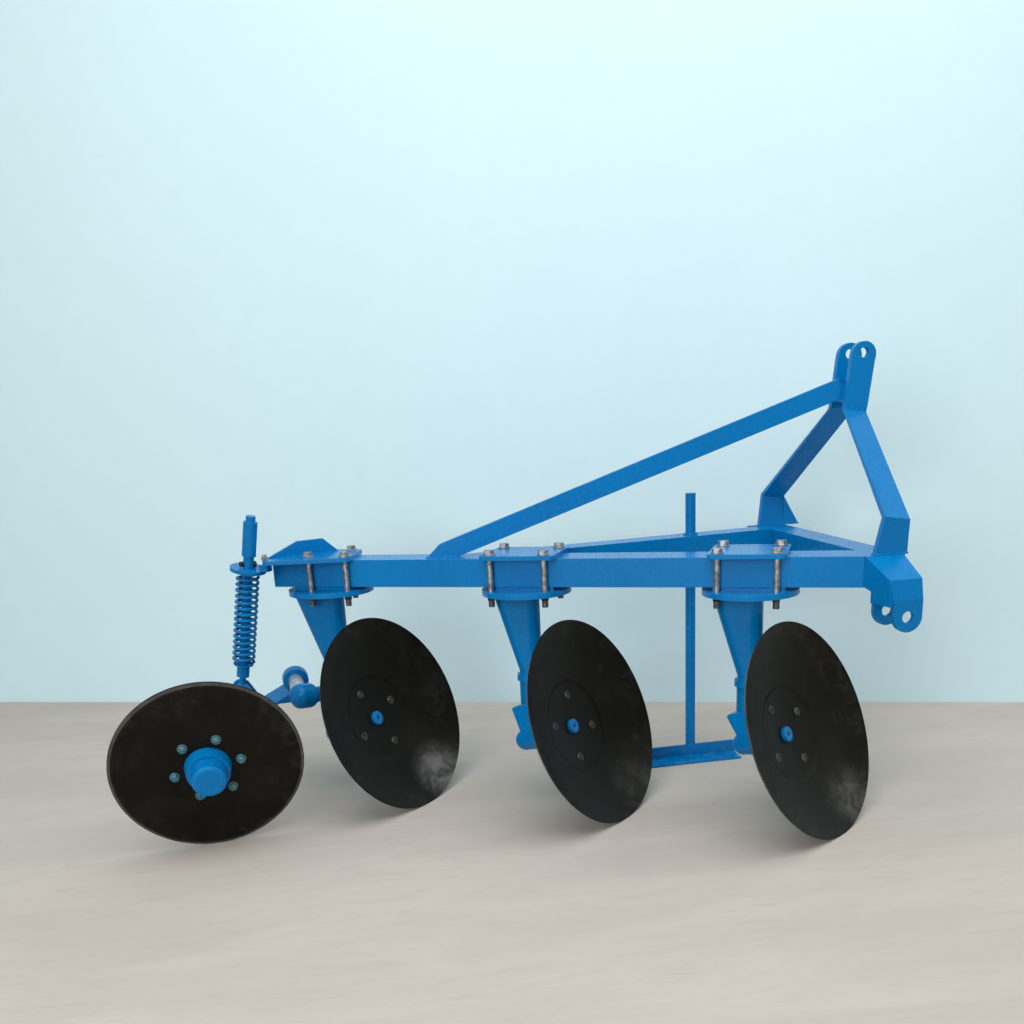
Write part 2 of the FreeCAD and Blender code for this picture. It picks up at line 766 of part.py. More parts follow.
def trailing_arm():
    """Sloping arm: pivot eye, plate with a web, ears for the strut and a socket for the axle."""
    half = arm_width / 2.0
    eye = Part.makeCylinder(pivot_diameter / 2.0, eye_length, V(0, -half, 0), V(0, 1, 0))
    plate_low = -arm_drop - arm_plate
    web_low = -arm_drop - arm_web_depth
    outline = [(20, -arm_drop), (-arm_length, -arm_drop), (-arm_length, plate_low),
               (-arm_web_start, plate_low), (-arm_web_end, web_low), (10, plate_low - 4)]
    plate = flat([V(x, -half, z) for x, z in outline], arm_width, V(0, 1, 0))
    body = plate.multiFuse([eye] + ear_pair())
    pin_hole = pivot_pin / 2.0 + running_gap
    body = body.cut(Part.makeCylinder(pin_hole, 400, V(0, -200, 0), V(0, 1, 0)))
    body = placed(body, arm_frame())
    knee = wheel_frame().multVec(V(0, 0, -axle_knee_back))
    line = knee.sub(arm_end())
    line.normalize()
    socket = rod(arm_end().sub(line * 20), arm_end().add(line * 45), axle_diameter / 2.0 + 10)
    return body.fuse(socket).cut(wheel_axle())


def pivot_pin_bar():
    """Bright pin from the boss back through the arm's eye."""
    frame = arm_frame()
    near = frame.inverse().multVec(link_end).y
    far = eye_length - arm_width / 2.0 + 6
    bar = Part.makeCylinder(pivot_pin / 2.0, far - near, V(0, near, 0), V(0, 1, 0))
    return placed(bar, frame).cut(pivot_link())


def pivot_link():
    """Round boss on a tube from the foot of the rear standard."""
    origin = standard_frame("rear").Base
    column = V(origin.x, origin.y, link_foot_height)
    tube = rod(link_end, column, link_diameter / 2.0)
    line = column.sub(link_end)
    line.normalize()
    boss = rod(link_end.sub(line * boss_length / 2.0), link_end.add(line * boss_length / 2.0), boss_diameter / 2.0)
    boss = boss.makeFillet(boss_diameter / 3.0, boss.Edges)
    solid = tube.fuse(boss)
    solid = solid.cut(cylinder(column_foot_radius, 0, column_neck_height, column.x, column.y))
    solid = solid.cut(placed(saddle_block("rear"), disc_frame("rear")))
    return max(solid.Solids, key=lambda piece: piece.Volume)


def strut_line():
    line = strut_head.sub(strut_foot)
    line.normalize()
    return line


def along_strut(distance):
    return strut_foot.add(strut_line() * distance)


def strut_part(radius, start, end):
    return Part.makeCylinder(radius, end - start, along_strut(start), strut_line())


def strut_bore(start, end):
    return strut_part(strut_rod_radius + sliding_gap, start, end)


def strut_rod():
    """Strut rod with its eye, lower collar, inner tube and top nut."""
    nut_low = sleeve_high + 1
    upper = strut_part(strut_rod_radius, strut_collar_low, nut_low + 8)
    nut = strut_part(strut_rod_radius + 3.5, nut_low, nut_low + 16)
    waist = strut_part(strut_rod_radius - 1, 15, strut_collar_low + 1)
    collar = strut_part(strut_collar_radius, strut_collar_low, strut_collar_high)
    seat = strut_part(spring_diameter / 2.0 - 5, strut_collar_high, strut_collar_high + 4)
    tube = strut_part(strut_tube_radius, strut_collar_high, seat_low - 20)
    frame = arm_frame()
    foot = frame.inverse().multVec(strut_foot)
    across = V(0, 1, 0)
    wide = ear_gap - 2 * side_play / 2.0
    eye = Part.makeCylinder(strut_eye_radius, wide, V(foot.x, foot.y - wide / 2.0, foot.z), across)
    hole = Part.makeCylinder(strut_pin_radius + sliding_gap, 100, V(foot.x, foot.y - 50, foot.z), across)
    body = upper.multiFuse([nut, waist, collar, seat, tube, placed(eye, frame)])
    return body.cut(placed(hole, frame))


def strut_sleeve():
    """Tube round the rod's upper end, standing on the spring seat."""
    sleeve = strut_part(sleeve_radius, sleeve_low, sleeve_high)
    neck = strut_part(sleeve_neck_radius, seat_low + seat_thickness, sleeve_low)
    return sleeve.fuse(neck).cut(strut_bore(300, 600))


def strut_pass():
    """Where the strut's axis crosses the beam's top plane, in the rear clamp's frame."""
    rise = (beam_top - strut_foot.z) / strut_line().z
    return clamp_frame("rear").inverse().multVec(along_strut(rise))


def strut_seat():
    """Round upper seat of the spring, with an ear bolted under the tail bracket."""
    seat = strut_part(seat_radius, seat_low, seat_low + seat_thickness)
    boss = strut_part(seat_boss_radius, seat_low - 10, seat_low)
    point = strut_pass()
    half = seat_ear / 2.0
    x = point.x + seat_bolt_forward
    ear = box(x - half, x + half, point.y - half, point.y + half, beam_top - 20, beam_top)
    ear = placed(ear, clamp_frame("rear"))
    body = seat.multiFuse([boss, ear]).cut(strut_bore(300, 600))
    body = body.cut(strut_part(sleeve_neck_radius + 0.5, seat_low + seat_thickness, 600))
    return body.cut(seat_bolt_hole())


def seat_bolt_hole():
    point = strut_pass()
    radius = seat_bolt / 2.0 + bolt_clearance / 2.0
    hole = cylinder(radius, beam_top - 60, beam_top + 60, point.x + seat_bolt_forward, point.y)
    return placed(hole, clamp_frame("rear"))


def seat_bolt_set():
    """Stud that holds the spring seat to the tail bracket, nut on top."""
    point = strut_pass()
    x = point.x + seat_bolt_forward
    high = beam_top + plate_thickness
    shank = cylinder(seat_bolt / 2.0, beam_top - 16, high + 15, x, point.y)
    nut = hexagon(seat_bolt * 1.5, high, high + 10, x, point.y)
    return placed(shank.fuse(nut), clamp_frame("rear"))


def strut_spring():
    """Open compression spring between the lower collar and the seat."""
    radius = (spring_diameter - spring_wire) / 2.0
    low = spring_low + spring_wire / 2.0
    high = seat_low - 10.5 - spring_wire / 2.0
    pitch = (high - low) / spring_turns
    helix = Part.makeHelix(pitch, high - low, radius)
    circle = Part.Wire(Part.Circle(V(radius, 0, 0), V(0, 1, 0), spring_wire / 2.0).toShape())
    coil = Part.Wire(helix).makePipeShell([circle], True, True)
    coil.translate(V(0, 0, low))
    return placed(coil, frame_at(strut_foot, FreeCAD.Rotation(V(0, 0, 1), strut_line())))


def tail_bracket():
    """Rear clamp plate drawn out to a point behind the beam, with a stiffening web on top."""
    places = clamp_bolt_places("rear")
    near_front = (places[1][0] + plate_overhang, places[1][1] - plate_overhang)
    far_front = (places[3][0] + plate_overhang, places[3][1] + plate_overhang)
    far_rear = (places[2][0] - 7, places[2][1] + plate_overhang)
    point = strut_pass()
    tip_near = (point.x + 62, point.y - 30)
    tip_far = (point.x + 34, point.y + 38)
    high = beam_top + plate_thickness
    plate = rounded_plate([near_front, far_front, far_rear, tip_far, tip_near], plate_corner, beam_top, high)
    web_start = V(tip_far[0] + 6, tip_far[1] - 10, high - 1)
    web_end = V(far_rear[0] + 36, far_rear[1] - 19, high - 1)
    run = web_end.sub(web_start)
    across = V(run.y, -run.x, 0)
    across.normalize()
    rise = V(0, 0, 41)
    outline = [web_start, web_start.add(run * 0.44).add(rise), web_start.add(run * 0.79).add(rise), web_end]
    body = plate.fuse(flat(outline, 10, across))
    body = body.cut(clamp_holes("rear", beam_top - 1, high + 60))
    return placed(body, clamp_frame("rear")).cut(seat_bolt_hole())


# ---------------------------------------------------------------- parking stand

def stand_sleeve():
    outer = stand_diameter / 2.0 + sleeve_wall
    sleeve = cylinder(outer, beam_top - beam_height - 4, beam_top + 5, stand_x, stand_y)
    bore = stand_diameter / 2.0 + sliding_gap
    return sleeve.cut(cylinder(bore, 500, 900, stand_x, stand_y))


def stand_rod():
    return cylinder(stand_diameter / 2.0, foot_wall, stand_top, stand_x, stand_y)


def stand_foot():
    """Angle-section foot welded under the rod, its front end cut to a point."""
    front = stand_y - stand_diameter / 2.0
    x0 = stand_x - foot_length / 2.0 - 10
    x1 = x0 + foot_length
    tip = x1 + foot_tip
    outline = [V(x0, front, 0), V(x1, front, 0), V(tip, front, foot_height / 2.0), V(x1, front, foot_height),
               V(x0, front, foot_height)]
    upright = flat(outline, foot_wall, V(0, -1, 0))
    sole = box(x0, x1, front - foot_depth, front + stand_diameter, 0, foot_wall)
    return upright.fuse(sole).removeSplitter()


# ---------------------------------------------------------------- assembly

def all_parts():
    parts = {}
    parts["main_beam"] = main_beam()
    parts["beam_end_cap"] = beam_end_cap()
    parts["front_crossbar"] = front_crossbar()
    parts["rear_brace"] = rear_brace()
    parts["right_hitch_bracket"] = hitch_bracket()
    parts["left_hitch_bracket"] = mirrored(hitch_bracket())
    parts["mast_right_leg"] = mast_leg()
    parts["mast_left_leg"] = mirrored(mast_leg()).fuse(mast_foot_gusset()).removeSplitter()
    parts["mast_spacer"] = mast_spacer()
    parts["mast_brace"] = mast_brace()
    parts["stand_sleeve"] = stand_sleeve()
    for name in standards:
        if name != "rear":
            parts[name + "_clamp_plate"] = clamp_plate(name)
        parts[name + "_clamp_bolts"] = clamp_bolts(name)
        parts[name + "_standard_flange"] = standard_flange(name)
        parts[name + "_standard_column"] = standard_column(name)
        parts[name + "_bearing_housing"] = bearing_housing(name)
        parts[name + "_disc"] = disc_blade(name)
        parts[name + "_disc_hub"] = disc_hub(name)
    parts["tail_bracket"] = tail_bracket()
    parts["seat_bolt"] = seat_bolt_set()
    parts["pivot_link"] = pivot_link()
    parts["pivot_pin"] = pivot_pin_bar()
    parts["trailing_arm"] = trailing_arm()
    parts["strut_rod"] = strut_rod()
    parts["strut_sleeve"] = strut_sleeve()
    parts["strut_seat"] = strut_seat()
    parts["strut_spring"] = strut_spring()
    parts["wheel_axle"] = wheel_axle()
    parts["furrow_wheel"] = furrow_wheel()
    parts["wheel_hub"] = wheel_hub()
    parts["stand_rod"] = stand_rod()
    parts["stand_foot"] = stand_foot()
    return parts


def centre_of(parts):
    whole = Part.makeCompound(list(parts.values()))
    bounds = whole.optimalBoundingBox(False, False)
    return V(bounds.Center.x, bounds.Center.y, 0)


PARTS = all_parts()
CENTRE = centre_of(PARTS)
os.makedirs("parts", exist_ok=True)
for node, shape in PARTS.items():
    moved = shape.translated(V(-CENTRE.x, -CENTRE.y, 0))
    moved.exportStep("parts/" + node + ".step")
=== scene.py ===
import json
import math

import bmesh
import bpy
from mathutils import Matrix, Vector


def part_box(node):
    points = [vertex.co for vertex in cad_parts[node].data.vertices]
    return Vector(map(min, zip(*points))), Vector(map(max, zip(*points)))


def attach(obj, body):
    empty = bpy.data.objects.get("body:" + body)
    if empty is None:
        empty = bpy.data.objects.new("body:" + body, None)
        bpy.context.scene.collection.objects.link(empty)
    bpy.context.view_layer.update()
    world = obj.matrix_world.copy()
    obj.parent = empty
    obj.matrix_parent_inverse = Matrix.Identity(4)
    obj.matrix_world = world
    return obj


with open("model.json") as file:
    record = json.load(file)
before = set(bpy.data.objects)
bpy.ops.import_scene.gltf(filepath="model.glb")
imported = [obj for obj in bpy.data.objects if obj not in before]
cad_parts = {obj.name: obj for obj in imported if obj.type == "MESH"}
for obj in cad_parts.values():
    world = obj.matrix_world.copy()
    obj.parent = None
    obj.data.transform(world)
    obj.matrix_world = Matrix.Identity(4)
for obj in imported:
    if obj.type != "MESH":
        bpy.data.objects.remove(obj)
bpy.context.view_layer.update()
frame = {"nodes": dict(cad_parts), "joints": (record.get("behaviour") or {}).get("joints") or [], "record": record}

record = frame["record"]
MOUNTS = {mount["name"]: Vector(mount["pos_m"]) for mount in record["mounts"]}
JOINTS = {joint["name"]: joint for joint in frame["joints"]}
HITCH = (MOUNTS["right_lower_link_outer"] + MOUNTS["left_lower_link_outer"]) / 2.0
HITCH.z = 0.0

# ---- looks, linear colour ----
BLUE = (0.0001, 0.176, 0.462)
BLUE_DARK = (0.0001, 0.158, 0.425)
# pale blue for lightened edges (partly worn paint, partly painted highlight) and for fine flecks
BLUE_EDGE = (0.006, 0.220, 0.520)
FIELD_DUST = (0.20, 0.22, 0.22)
BLACK_STEEL = (0.0070, 0.0064, 0.0042)
WARM_STEEL = (0.0125, 0.0115, 0.0085)
DUSTY_STEEL = (0.060, 0.058, 0.053)
GROUND_STEEL = (0.150, 0.150, 0.145)
# pale steel of the discs' lower-right patch: partly rubbed bare, partly a painted highlight
RUBBED_HIGHLIGHT_STEEL = (0.185, 0.178, 0.168)
ZINC = (0.42, 0.43, 0.43)
ZINC_STAIN = (0.16, 0.16, 0.165)
FLOOR = (0.515, 0.462, 0.412)
WALL = (0.660, 0.860, 0.920)
WORLD_TINT = (0.92, 0.98, 1.0)
WORLD_SEEN = 0.62

# ---- blades: rim radius, and how strongly the lower right of each disc is rubbed bare and lightened by a painted highlight ----
DISC_RIM = 0.280
WHEEL_RIM = 0.245
RUBBED_AND_HIGHLIGHT = {"front_disc": 0.34, "middle_disc": 0.14, "rear_disc": 0.85}

# ---- fastener places, measured from each joint along its axis, in metres ----
DISC_BOLT_PHASE = {"front": 29, "middle": -14, "rear": 23}
BOLT_CIRCLE = 0.087
SEAT_HEIGHT = -0.0695
FLANGE_DEPTH = 0.0960
CAP_HEIGHT = -0.0670
WHEEL_BOLT_PHASE = 40
WHEEL_BOLT_CIRCLE = 0.086
WHEEL_FACE = 0.004
WHEEL_BACK = 0.016
BOLT_PITCH = 0.00175
CLAMP_PITCH = 0.0020
STRUT_BOLT_RISE = 0.010
HEAD_STACK = 0.013

# ---- stage and camera, from the point on the ground midway between the lower hitch pins ----
WALL_LEFT = (-5.484, 2.871, 0)
WALL_RIGHT = (3.976, -0.682, 0)
WALL_RISE = 6
FLOOR_REACH = 14
CAMERA_PLACE = (-1.3562, -2.7640, 1.0927)
CAMERA_YAW, CAMERA_PITCH, CAMERA_ROLL = -0.155, 0.3061, -0.0558
CAMERA_LENS = 37.44
CAMERA_SHIFT = (0.0127, 0.2201)


# ---------------------------------------------------------------- node helpers

def new_material(name):
    material = bpy.data.materials.new(name)
    material.use_nodes = True
    return material, material.node_tree, material.node_tree.nodes["Principled BSDF"]


def add_node(tree, kind, inputs=(), **settings):
    made = tree.nodes.new(kind)
    for key, value in settings.items():
        setattr(made, key, value)
    for name, value in dict(inputs).items():
        socket = made.inputs[name]
        if isinstance(value, bpy.types.NodeSocket):
            tree.links.new(value, socket)
        else:
            socket.default_value = value
    return made


def rgba(colour):
    return (*colour, 1.0)


def noise_value(tree, coords, scale, detail=4.0, rough=0.6, distortion=0.0):
    made = add_node(tree, "ShaderNodeTexNoise",
                    {"Vector": coords, "Scale": scale, "Detail": detail, "Roughness": rough,
                     "Distortion": distortion})
    return made.outputs["Fac"]


def ramp(tree, value, low, high, start=0.0, end=1.0):
    made = add_node(tree, "ShaderNodeMapRange",
                    {"Value": value, "From Min": low, "From Max": high, "To Min": start, "To Max": end})
    made.interpolation_type = "SMOOTHSTEP"
    return made.outputs["Result"]


def mix_colour(tree, factor, first, second):
    made = tree.nodes.new("ShaderNodeMix")
    made.data_type = "RGBA"
    sockets = {"Factor": made.inputs[0], "A": made.inputs[6], "B": made.inputs[7]}
    for name, value in (("Factor", factor), ("A", first), ("B", second)):
        if isinstance(value, bpy.types.NodeSocket):
            tree.links.new(value, sockets[name])
        elif name == "Factor":
            sockets[name].default_value = value
        else:
            sockets[name].default_value = rgba(value)
    return made.outputs[2]


def calculate(tree, operation, first, second=0.0):
    made = add_node(tree, "ShaderNodeMath", operation=operation)
    for socket, value in zip(made.inputs, (first, second)):
        if isinstance(value, bpy.types.NodeSocket):
            tree.links.new(value, socket)
        else:
            socket.default_value = value
    return made.outputs[0]


def scaled(tree, first, second):
    return calculate(tree, "MULTIPLY", first, second)


def vector_value(tree, operation, first, second):
    made = add_node(tree, "ShaderNodeVectorMath", {0: first, 1: second}, operation=operation)
    return made.outputs["Value"]


def bump(tree, height, distance, strength=1.0, normal=None):
    inputs = {"Height": height, "Distance": distance, "Strength": strength}
    if normal is not None:
        inputs["Normal"] = normal
    return add_node(tree, "ShaderNodeBump", inputs).outputs["Normal"]


def object_coords(tree):
    return add_node(tree, "ShaderNodeTexCoord").outputs["Object"]


# ---------------------------------------------------------------- materials

def rounded_normal(tree, radius):
    made = add_node(tree, "ShaderNodeBevel", {"Radius": radius})
    made.samples = 4
    return made.outputs["Normal"]


def edge_amount(tree, rounded):
    """1 on sharp edges, 0 on flat faces."""
    flat = add_node(tree, "ShaderNodeNewGeometry").outputs["Normal"]
    return ramp(tree, vector_value(tree, "DOT_PRODUCT", rounded, flat), 0.985, 0.88)


def blue_paint():
    """Glossy sprayed paint: slow shade changes, thin bright edges that are partly wear and partly painted
    highlight, orange peel, dust near the ground.
    """
    material, tree, shader = new_material("blue_paint")
    coords = object_coords(tree)
    cloud = noise_value(tree, coords, 4.0, 3.0)
    fine = noise_value(tree, coords, 70.0, 4.0)
    rounded = rounded_normal(tree, 0.0018)
    shade = mix_colour(tree, ramp(tree, cloud, 0.35, 0.65), BLUE, BLUE_DARK)
    shade = mix_colour(tree, scaled(tree, ramp(tree, fine, 0.50, 0.80), 0.10), shade, BLUE_EDGE)
    # sharp edges lightened: partly worn paint, partly painted highlight
    edge_wear_and_highlight = scaled(tree, edge_amount(tree, rounded), ramp(tree, fine, 0.25, 0.6, 0.25, 0.8))
    shade = mix_colour(tree, edge_wear_and_highlight, shade, BLUE_EDGE)
    height = add_node(tree, "ShaderNodeSeparateXYZ", {"Vector": coords}).outputs["Z"]
    settled = ramp(tree, noise_value(tree, coords, 28.0, 5.0), 0.45, 0.75)
    dust = scaled(tree, ramp(tree, height, 0.20, 0.01), settled)
    shade = mix_colour(tree, scaled(tree, dust, 0.18), shade, FIELD_DUST)
    tree.links.new(shade, shader.inputs["Base Color"])
    rough = calculate(tree, "ADD", ramp(tree, fine, 0.3, 0.7, 0.20, 0.30), scaled(tree, dust, 0.3))
    tree.links.new(rough, shader.inputs["Roughness"])
    shader.inputs["Specular IOR Level"].default_value = 0.18
    peel = noise_value(tree, coords, 420.0, 2.0, 0.5)
    wave = noise_value(tree, coords, 40.0, 2.0, 0.5)
    normal = bump(tree, wave, 0.0005, 0.06, rounded)
    normal = bump(tree, peel, 0.00008, 0.12, normal)
    tree.links.new(normal, shader.inputs["Normal"])
    return material


def blade_steel(joint, name, rim, bevel, bevel_outward, rubbed_and_highlight):
    """Heat-treated steel: near black, with faint rolling marks, a scuffed edge and a ground bevel at the rim.

    bevel is how bare the bevel is, on the side that faces along the joint's axis if bevel_outward;
    The last argument sets the strength of the lower-right patch, partly worn bare and partly a painted highlight.
    """
    material, tree, shader = new_material(name)
    coords = object_coords(tree)
    blotch = noise_value(tree, coords, 8.0, 6.0, 0.62, 0.4)
    smudge = noise_value(tree, coords, 17.0, 6.0, 0.65, 0.9)
    speck = noise_value(tree, coords, 120.0, 4.0)
    shade = mix_colour(tree, ramp(tree, blotch, 0.40, 0.75), BLACK_STEEL, WARM_STEEL)

    reach = vector_value(tree, "DISTANCE", coords, Vector(joint["pos_m"]))
    edge = ramp(tree, reach, rim * 0.52, rim * 0.97)
    scuff = scaled(tree, edge, ramp(tree, smudge, 0.48, 0.74))
    shade = mix_colour(tree, scaled(tree, scuff, 0.30), shade, DUSTY_STEEL)
    shade = mix_colour(tree, scaled(tree, ramp(tree, speck, 0.64, 0.74), 0.18), shade, DUSTY_STEEL)

    along_radius = add_node(tree, "ShaderNodeCombineXYZ", {"X": reach}).outputs[0]
    rings = add_node(tree, "ShaderNodeTexNoise",
                     {"Vector": along_radius, "Scale": 260.0, "Detail": 3.0}).outputs["Fac"]
    shade = mix_colour(tree, scaled(tree, ramp(tree, rings, 0.5, 0.8), 0.10), shade, DUSTY_STEEL)

    # lower-right patch, partly rubbed bare steel and partly a painted highlight in place of a lamp reflection
    patch = joint_matrix(joint["name"]) @ Vector((rim * 0.78, rim * 0.42, -0.015))
    away = vector_value(tree, "DISTANCE", coords, patch)
    rub_and_highlight = scaled(tree, ramp(tree, away, 0.115, 0.015), ramp(tree, smudge, 0.34, 0.64, 0.25, 1.0))
    shade = mix_colour(tree, scaled(tree, rub_and_highlight, rubbed_and_highlight), shade, RUBBED_HIGHLIGHT_STEEL)

    facing = add_node(tree, "ShaderNodeNewGeometry").outputs["Normal"]
    outward = vector_value(tree, "DOT_PRODUCT", facing, Vector(joint["axis"]).normalized())
    side = ramp(tree, outward, 0.0, 0.15) if bevel_outward else ramp(tree, outward, 0.15, 0.0)
    ground = scaled(tree, side, scaled(tree, ramp(tree, reach, rim - 0.0085, rim - 0.0070), bevel))
    ground = scaled(tree, ground, ramp(tree, smudge, 0.3, 0.6, 0.5, 0.9))
    shade = mix_colour(tree, ground, shade, GROUND_STEEL)

    tree.links.new(shade, shader.inputs["Base Color"])
    shader.inputs["Metallic"].default_value = 0.25
    shader.inputs["Specular IOR Level"].default_value = 0.11
    tree.links.new(ramp(tree, blotch, 0.3, 0.7, 0.36, 0.50), shader.inputs["Roughness"])
    normal = bump(tree, noise_value(tree, coords, 12.0, 3.0), 0.003, 0.20, rounded_normal(tree, 0.0012))
    normal = bump(tree, rings, 0.0002, 0.25, normal)
    normal = bump(tree, speck, 0.0003, 0.35, normal)
    tree.links.new(normal, shader.inputs["Normal"])
    return material


def plated_steel(name, bright, dark, metallic=0.8, gloss=0.30):
    """Plated or blackened fastener steel with stains."""
    material, tree, shader = new_material(name)
    coords = object_coords(tree)
    stain = noise_value(tree, coords, 90.0, 5.0)
    shade = mix_colour(tree, ramp(tree, stain, 0.38, 0.66), bright, dark)
    tree.links.new(shade, shader.inputs["Base Color"])
    shader.inputs["Metallic"].default_value = metallic
    tree.links.new(ramp(tree, stain, 0.3, 0.7, gloss, gloss + 0.2), shader.inputs["Roughness"])
    normal = bump(tree, noise_value(tree, coords, 500.0, 2.0), 0.0001, 0.5, rounded_normal(tree, 0.0006))
    tree.links.new(normal, shader.inputs["Normal"])
    return material


def stage_material(name, colour, speckle, one_sided=False):
    """Matt surface with slow clouds and fine streaks; one_sided makes it clear from behind."""
    material, tree, shader = new_material(name)
    coords = object_coords(tree)
    stretched = add_node(tree, "ShaderNodeMapping", {"Vector": coords, "Scale": (0.55, 2.2, 1.0)}).outputs[0]
    slow = noise_value(tree, stretched, 2.2, 6.0, 0.62, 0.6)
    darker = tuple(value * (1.0 - speckle) for value in colour)
    shade = mix_colour(tree, ramp(tree, slow, 0.35, 0.65), colour, darker)
    streak = noise_value(tree, stretched, 14.0, 6.0, 0.66, 0.8)
    darkest = tuple(value * (1.0 - 1.6 * speckle) for value in colour)
    shade = mix_colour(tree, scaled(tree, ramp(tree, streak, 0.48, 0.74), 0.7), shade, darkest)
    tree.links.new(shade, shader.inputs["Base Color"])
    shader.inputs["Roughness"].default_value = 0.9
    shader.inputs["Specular IOR Level"].default_value = 0.1
    if one_sided:
        clear = add_node(tree, "ShaderNodeBsdfTransparent")
        behind = add_node(tree, "ShaderNodeNewGeometry").outputs["Backfacing"]
        mixed = add_node(tree, "ShaderNodeMixShader", {0: behind, 1: shader.outputs[0], 2: clear.outputs[0]})
        tree.links.new(mixed.outputs[0], tree.nodes["Material Output"].inputs["Surface"])
    return material


# ---------------------------------------------------------------- mesh helpers

def joint_matrix(name):
    """Local frame of a spin joint: Z along its axis, X straight down across the face."""
    joint = JOINTS[name]
    axis = Vector(joint["axis"]).normalized()
    gravity = Vector((0, 0, -1))
    down = (gravity - axis * gravity.dot(axis)).normalized()
    turn = Matrix((down, axis.cross(down), axis)).transposed()
    return Matrix.Translation(Vector(joint["pos_m"])) @ turn.to_4x4()


def axis_matrix(place, direction):
    """Local frame at a point with Z along a direction."""
    turn = Vector(direction).to_track_quat("Z", "Y").to_matrix()
    return Matrix.Translation(Vector(place)) @ turn.to_4x4()


def around(matrix, angle, radius, height):
    """Frame on a circle about a frame's Z axis."""
    return matrix @ Matrix.Rotation(math.radians(angle), 4, "Z") @ Matrix.Translation((radius, 0, height))


def lathe(mesh, profile, matrix, segments=20):
    """Turned shape from (radius, height) pairs; a radius of 0 closes an end."""
    rings = []
    for radius, height in profile:
        if radius == 0:
            rings.append([mesh.verts.new(matrix @ Vector((0, 0, height)))])
            continue
        turns = [2 * math.pi * k / segments for k in range(segments)]
        rings.append([mesh.verts.new(matrix @ Vector((radius * math.cos(a), radius * math.sin(a), height)))
                      for a in turns])
    for low, high in zip(rings, rings[1:]):
        for k in range(segments):
            nxt = (k + 1) % segments
            if len(low) == 1:
                mesh.faces.new((low[0], high[nxt], high[k]))
            elif len(high) == 1:
                mesh.faces.new((low[k], low[nxt], high[0]))
            else:
                mesh.faces.new((low[k], low[nxt], high[nxt], high[k]))


def hexagon(mesh, flats, height, matrix):
    """Chamfered hexagon head or nut standing on its frame's origin."""
    corner = flats / math.sqrt(3.0)
    profile = [(0, 0), (corner, 0), (corner, height * 0.86), (corner * 0.87, height), (0, height)]
    lathe(mesh, profile, matrix, 6)


def washer(mesh, radius, thickness, matrix):
    lathe(mesh, [(0, 0), (radius - 0.0004, 0), (radius, 0.0004), (radius, thickness - 0.0004),
                 (radius - 0.0006, thickness), (0, thickness)], matrix, 28)


def thread(mesh, radius, length, pitch, matrix):
    """Threaded rod end: a ridge at every pitch."""
    profile = [(0, 0), (radius * 0.90, 0)]
    count = int(length / pitch)
    for step in range(count):
        profile.append((radius, (step + 0.5) * pitch))
        profile.append((radius * 0.88, (step + 1.0) * pitch))
    profile.append((radius * 0.80, count * pitch + 0.0006))
    profile.append((0, count * pitch + 0.0006))
    lathe(mesh, profile, matrix, 20)


def bead(mesh, path, radius, closed):
    """Weld bead: a tube along a path, in steps of 2 mm, rippled at every 8 mm."""
    points = []
    ends = path + path[:1] if closed else path
    for first, second in zip(ends, ends[1:]):
        count = max(1, int((second - first).length / 0.0020))
        points.extend(first.lerp(second, k / count) for k in range(count))
    if not closed:
        points.append(ends[-1])
    rings = []
    total = len(points)
    for k, point in enumerate(points):
        before = points[k - 1] if closed or k > 0 else point
        after = points[(k + 1) % total] if closed or k < total - 1 else point
        turn = (after - before).to_track_quat("Z", "Y").to_matrix()
        swell = radius * (1.0 + 0.14 * math.sin(k * 1.57) + 0.08 * math.sin(k * 0.37))
        rings.append([mesh.verts.new(point + turn @ Vector((swell * math.cos(a), swell * math.sin(a), 0)))
                      for a in [math.pi / 4 * j for j in range(8)]])
    pairs = list(zip(rings, rings[1:])) + ([(rings[-1], rings[0])] if closed else [])
    for low, high in pairs:
        for j in range(8):
            nxt = (j + 1) % 8
            mesh.faces.new((low[j], low[nxt], high[nxt], high[j]))
    if not closed:
        mesh.faces.new(rings[0][::-1])
        mesh.faces.new(rings[-1])


def piece(name, mesh, material, body, smooth=35):
    """Turns a bmesh into an object that rides on a body, with edges sharper than smooth degrees kept."""
    bmesh.ops.recalc_face_normals(mesh, faces=mesh.faces)
    data = bpy.data.meshes.new(name)
    mesh.to_mesh(data)
    mesh.free()
    made = bpy.data.objects.new(name, data)
    bpy.context.scene.collection.objects.link(made)
    data.materials.append(material)
    data.shade_smooth()
    data.set_sharp_from_angle(angle=math.radians(smooth))
    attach(made, body)


def node_points(name):
    return [Vector(vertex.co) for vertex in frame["nodes"][name].data.vertices]


def islands(name):
    """Corner points of each separate solid of a node."""
    mesh = bmesh.new()
    mesh.from_mesh(frame["nodes"][name].data)
    bmesh.ops.remove_doubles(mesh, verts=mesh.verts, dist=0.00001)
    left = set(mesh.verts)
    found = []
    while left:
        front = [left.pop()]
        group = list(front)
        while front:
            for edge in front.pop().link_edges:
                for vertex in edge.verts:
                    if vertex in left:
                        left.remove(vertex)
                        front.append(vertex)
                        group.append(vertex)
        found.append([vertex.co.copy() for vertex in group])
    mesh.free()
    return found


def turns_right(first, second, third):
    """Whether three points seen from above turn right or run straight."""
    return ((second[0] - first[0]) * (third[1] - first[1])
            - (second[1] - first[1]) * (third[0] - first[0])) <= 0


def outline(points, height):
    """Convex outline of points, seen from above, at a height."""
    flat = sorted({(round(p.x, 5), round(p.y, 5)) for p in points})
    halves = []
    for ordered in (flat, flat[::-1]):
        chain = []
        for p in ordered:
            while len(chain) > 1 and turns_right(chain[-2], chain[-1], p):
                chain.pop()
            chain.append(p)
        halves.extend(chain[:-1])
    return [Vector((x, y, height)) for x, y in halves]


# ---------------------------------------------------------------- added details

